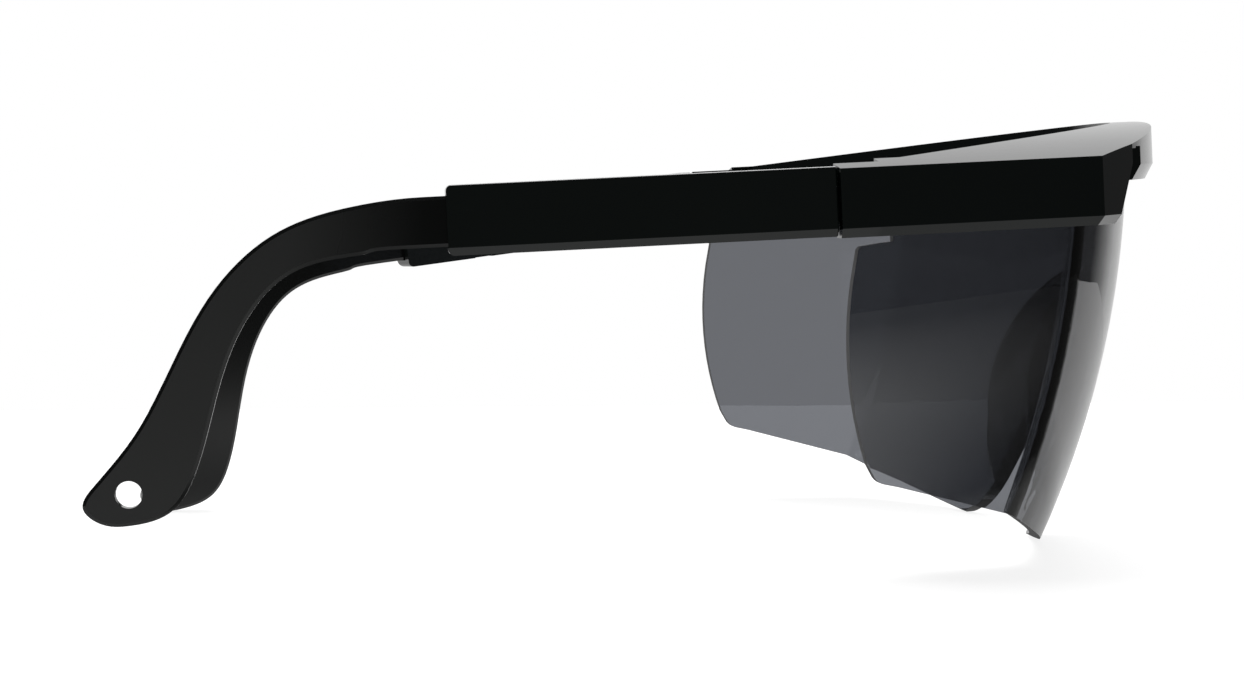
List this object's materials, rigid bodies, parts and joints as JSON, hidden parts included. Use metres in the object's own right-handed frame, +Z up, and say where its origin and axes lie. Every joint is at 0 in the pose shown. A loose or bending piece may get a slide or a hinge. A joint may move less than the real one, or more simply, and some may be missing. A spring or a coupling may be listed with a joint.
{
  "type": "safety glasses",
  "caption": "Wraparound safety glasses: grey one-piece shield lens in a black brow frame, with temples that fold, tilt and slide in length.",
  "frame": {"origin": "centre of the bottom of the bounding box as the glasses lie open on a surface, on the lens' two lower lobes and the left temple tip", "axes": "+Z up, -Y the way the wearer looks, -X the wearer's right; the brow frame is pitched 2.8 degrees down to the rear as it rests"},
  "size_m": [0.144, 0.1688, 0.0664],
  "materials": {
    "lens": "clear grey tinted polycarbonate, polished",
    "frame_plastic": "black nylon, polished",
    "sleeve_plastic": "black nylon, polished",
    "tip_plastic": "black nylon, satin",
    "hinge_plastic": "black acetal, satin",
    "steel": "plain steel"
  },
  "bodies": {
    "front": {"brow_frame": "frame_plastic", "lens": "lens", "right_fold_pin": "steel", "left_fold_pin": "steel"},
    "right_hinge": {"right_hinge_block": "hinge_plastic"},
    "right_sleeve": {"right_temple_sleeve": "sleeve_plastic", "right_tilt_screw": "steel"},
    "right_tip": {"right_temple_tip": "tip_plastic"},
    "left_hinge": {"left_hinge_block": "hinge_plastic"},
    "left_sleeve": {"left_temple_sleeve": "sleeve_plastic", "left_tilt_screw": "steel"},
    "left_tip": {"left_temple_tip": "tip_plastic"}
  },
  "joints": [
    {"name": "right_fold", "type": "hinge", "parent": "front", "child": "right_hinge", "pos_m": [-0.0665, -0.02679, 0.05315], "axis": [0, -0.0489, -0.9988], "range_deg": [0, 86.6]},
    {"name": "right_tilt", "type": "hinge", "parent": "right_hinge", "child": "right_sleeve", "pos_m": [-0.06598, -0.018, 0.05302], "axis": [-0.9982, 0.0592, -0.0029], "range_deg": [-5, 5]},
    {"name": "right_length", "type": "slide", "parent": "right_sleeve", "child": "right_tip", "axis": [0.0593, 0.997, -0.0488], "range_m": [-0.004, 0.0182]},
    {"name": "left_fold", "type": "hinge", "parent": "front", "child": "left_hinge", "pos_m": [0.0665, -0.02679, 0.05315], "axis": [0, 0.0489, 0.9988], "range_deg": [-10.7, 60.9]},
    {"name": "left_tilt", "type": "hinge", "parent": "left_hinge", "child": "left_sleeve", "pos_m": [0.06436, -0.01825, 0.05303], "axis": [-0.9699, -0.2433, 0.0119], "range_deg": [-9.4, 0.6]},
    {"name": "left_length", "type": "slide", "parent": "left_sleeve", "child": "left_tip", "axis": [-0.2429, 0.9621, -0.1239], "range_m": [-0.0025, 0.0197]}
  ]
}
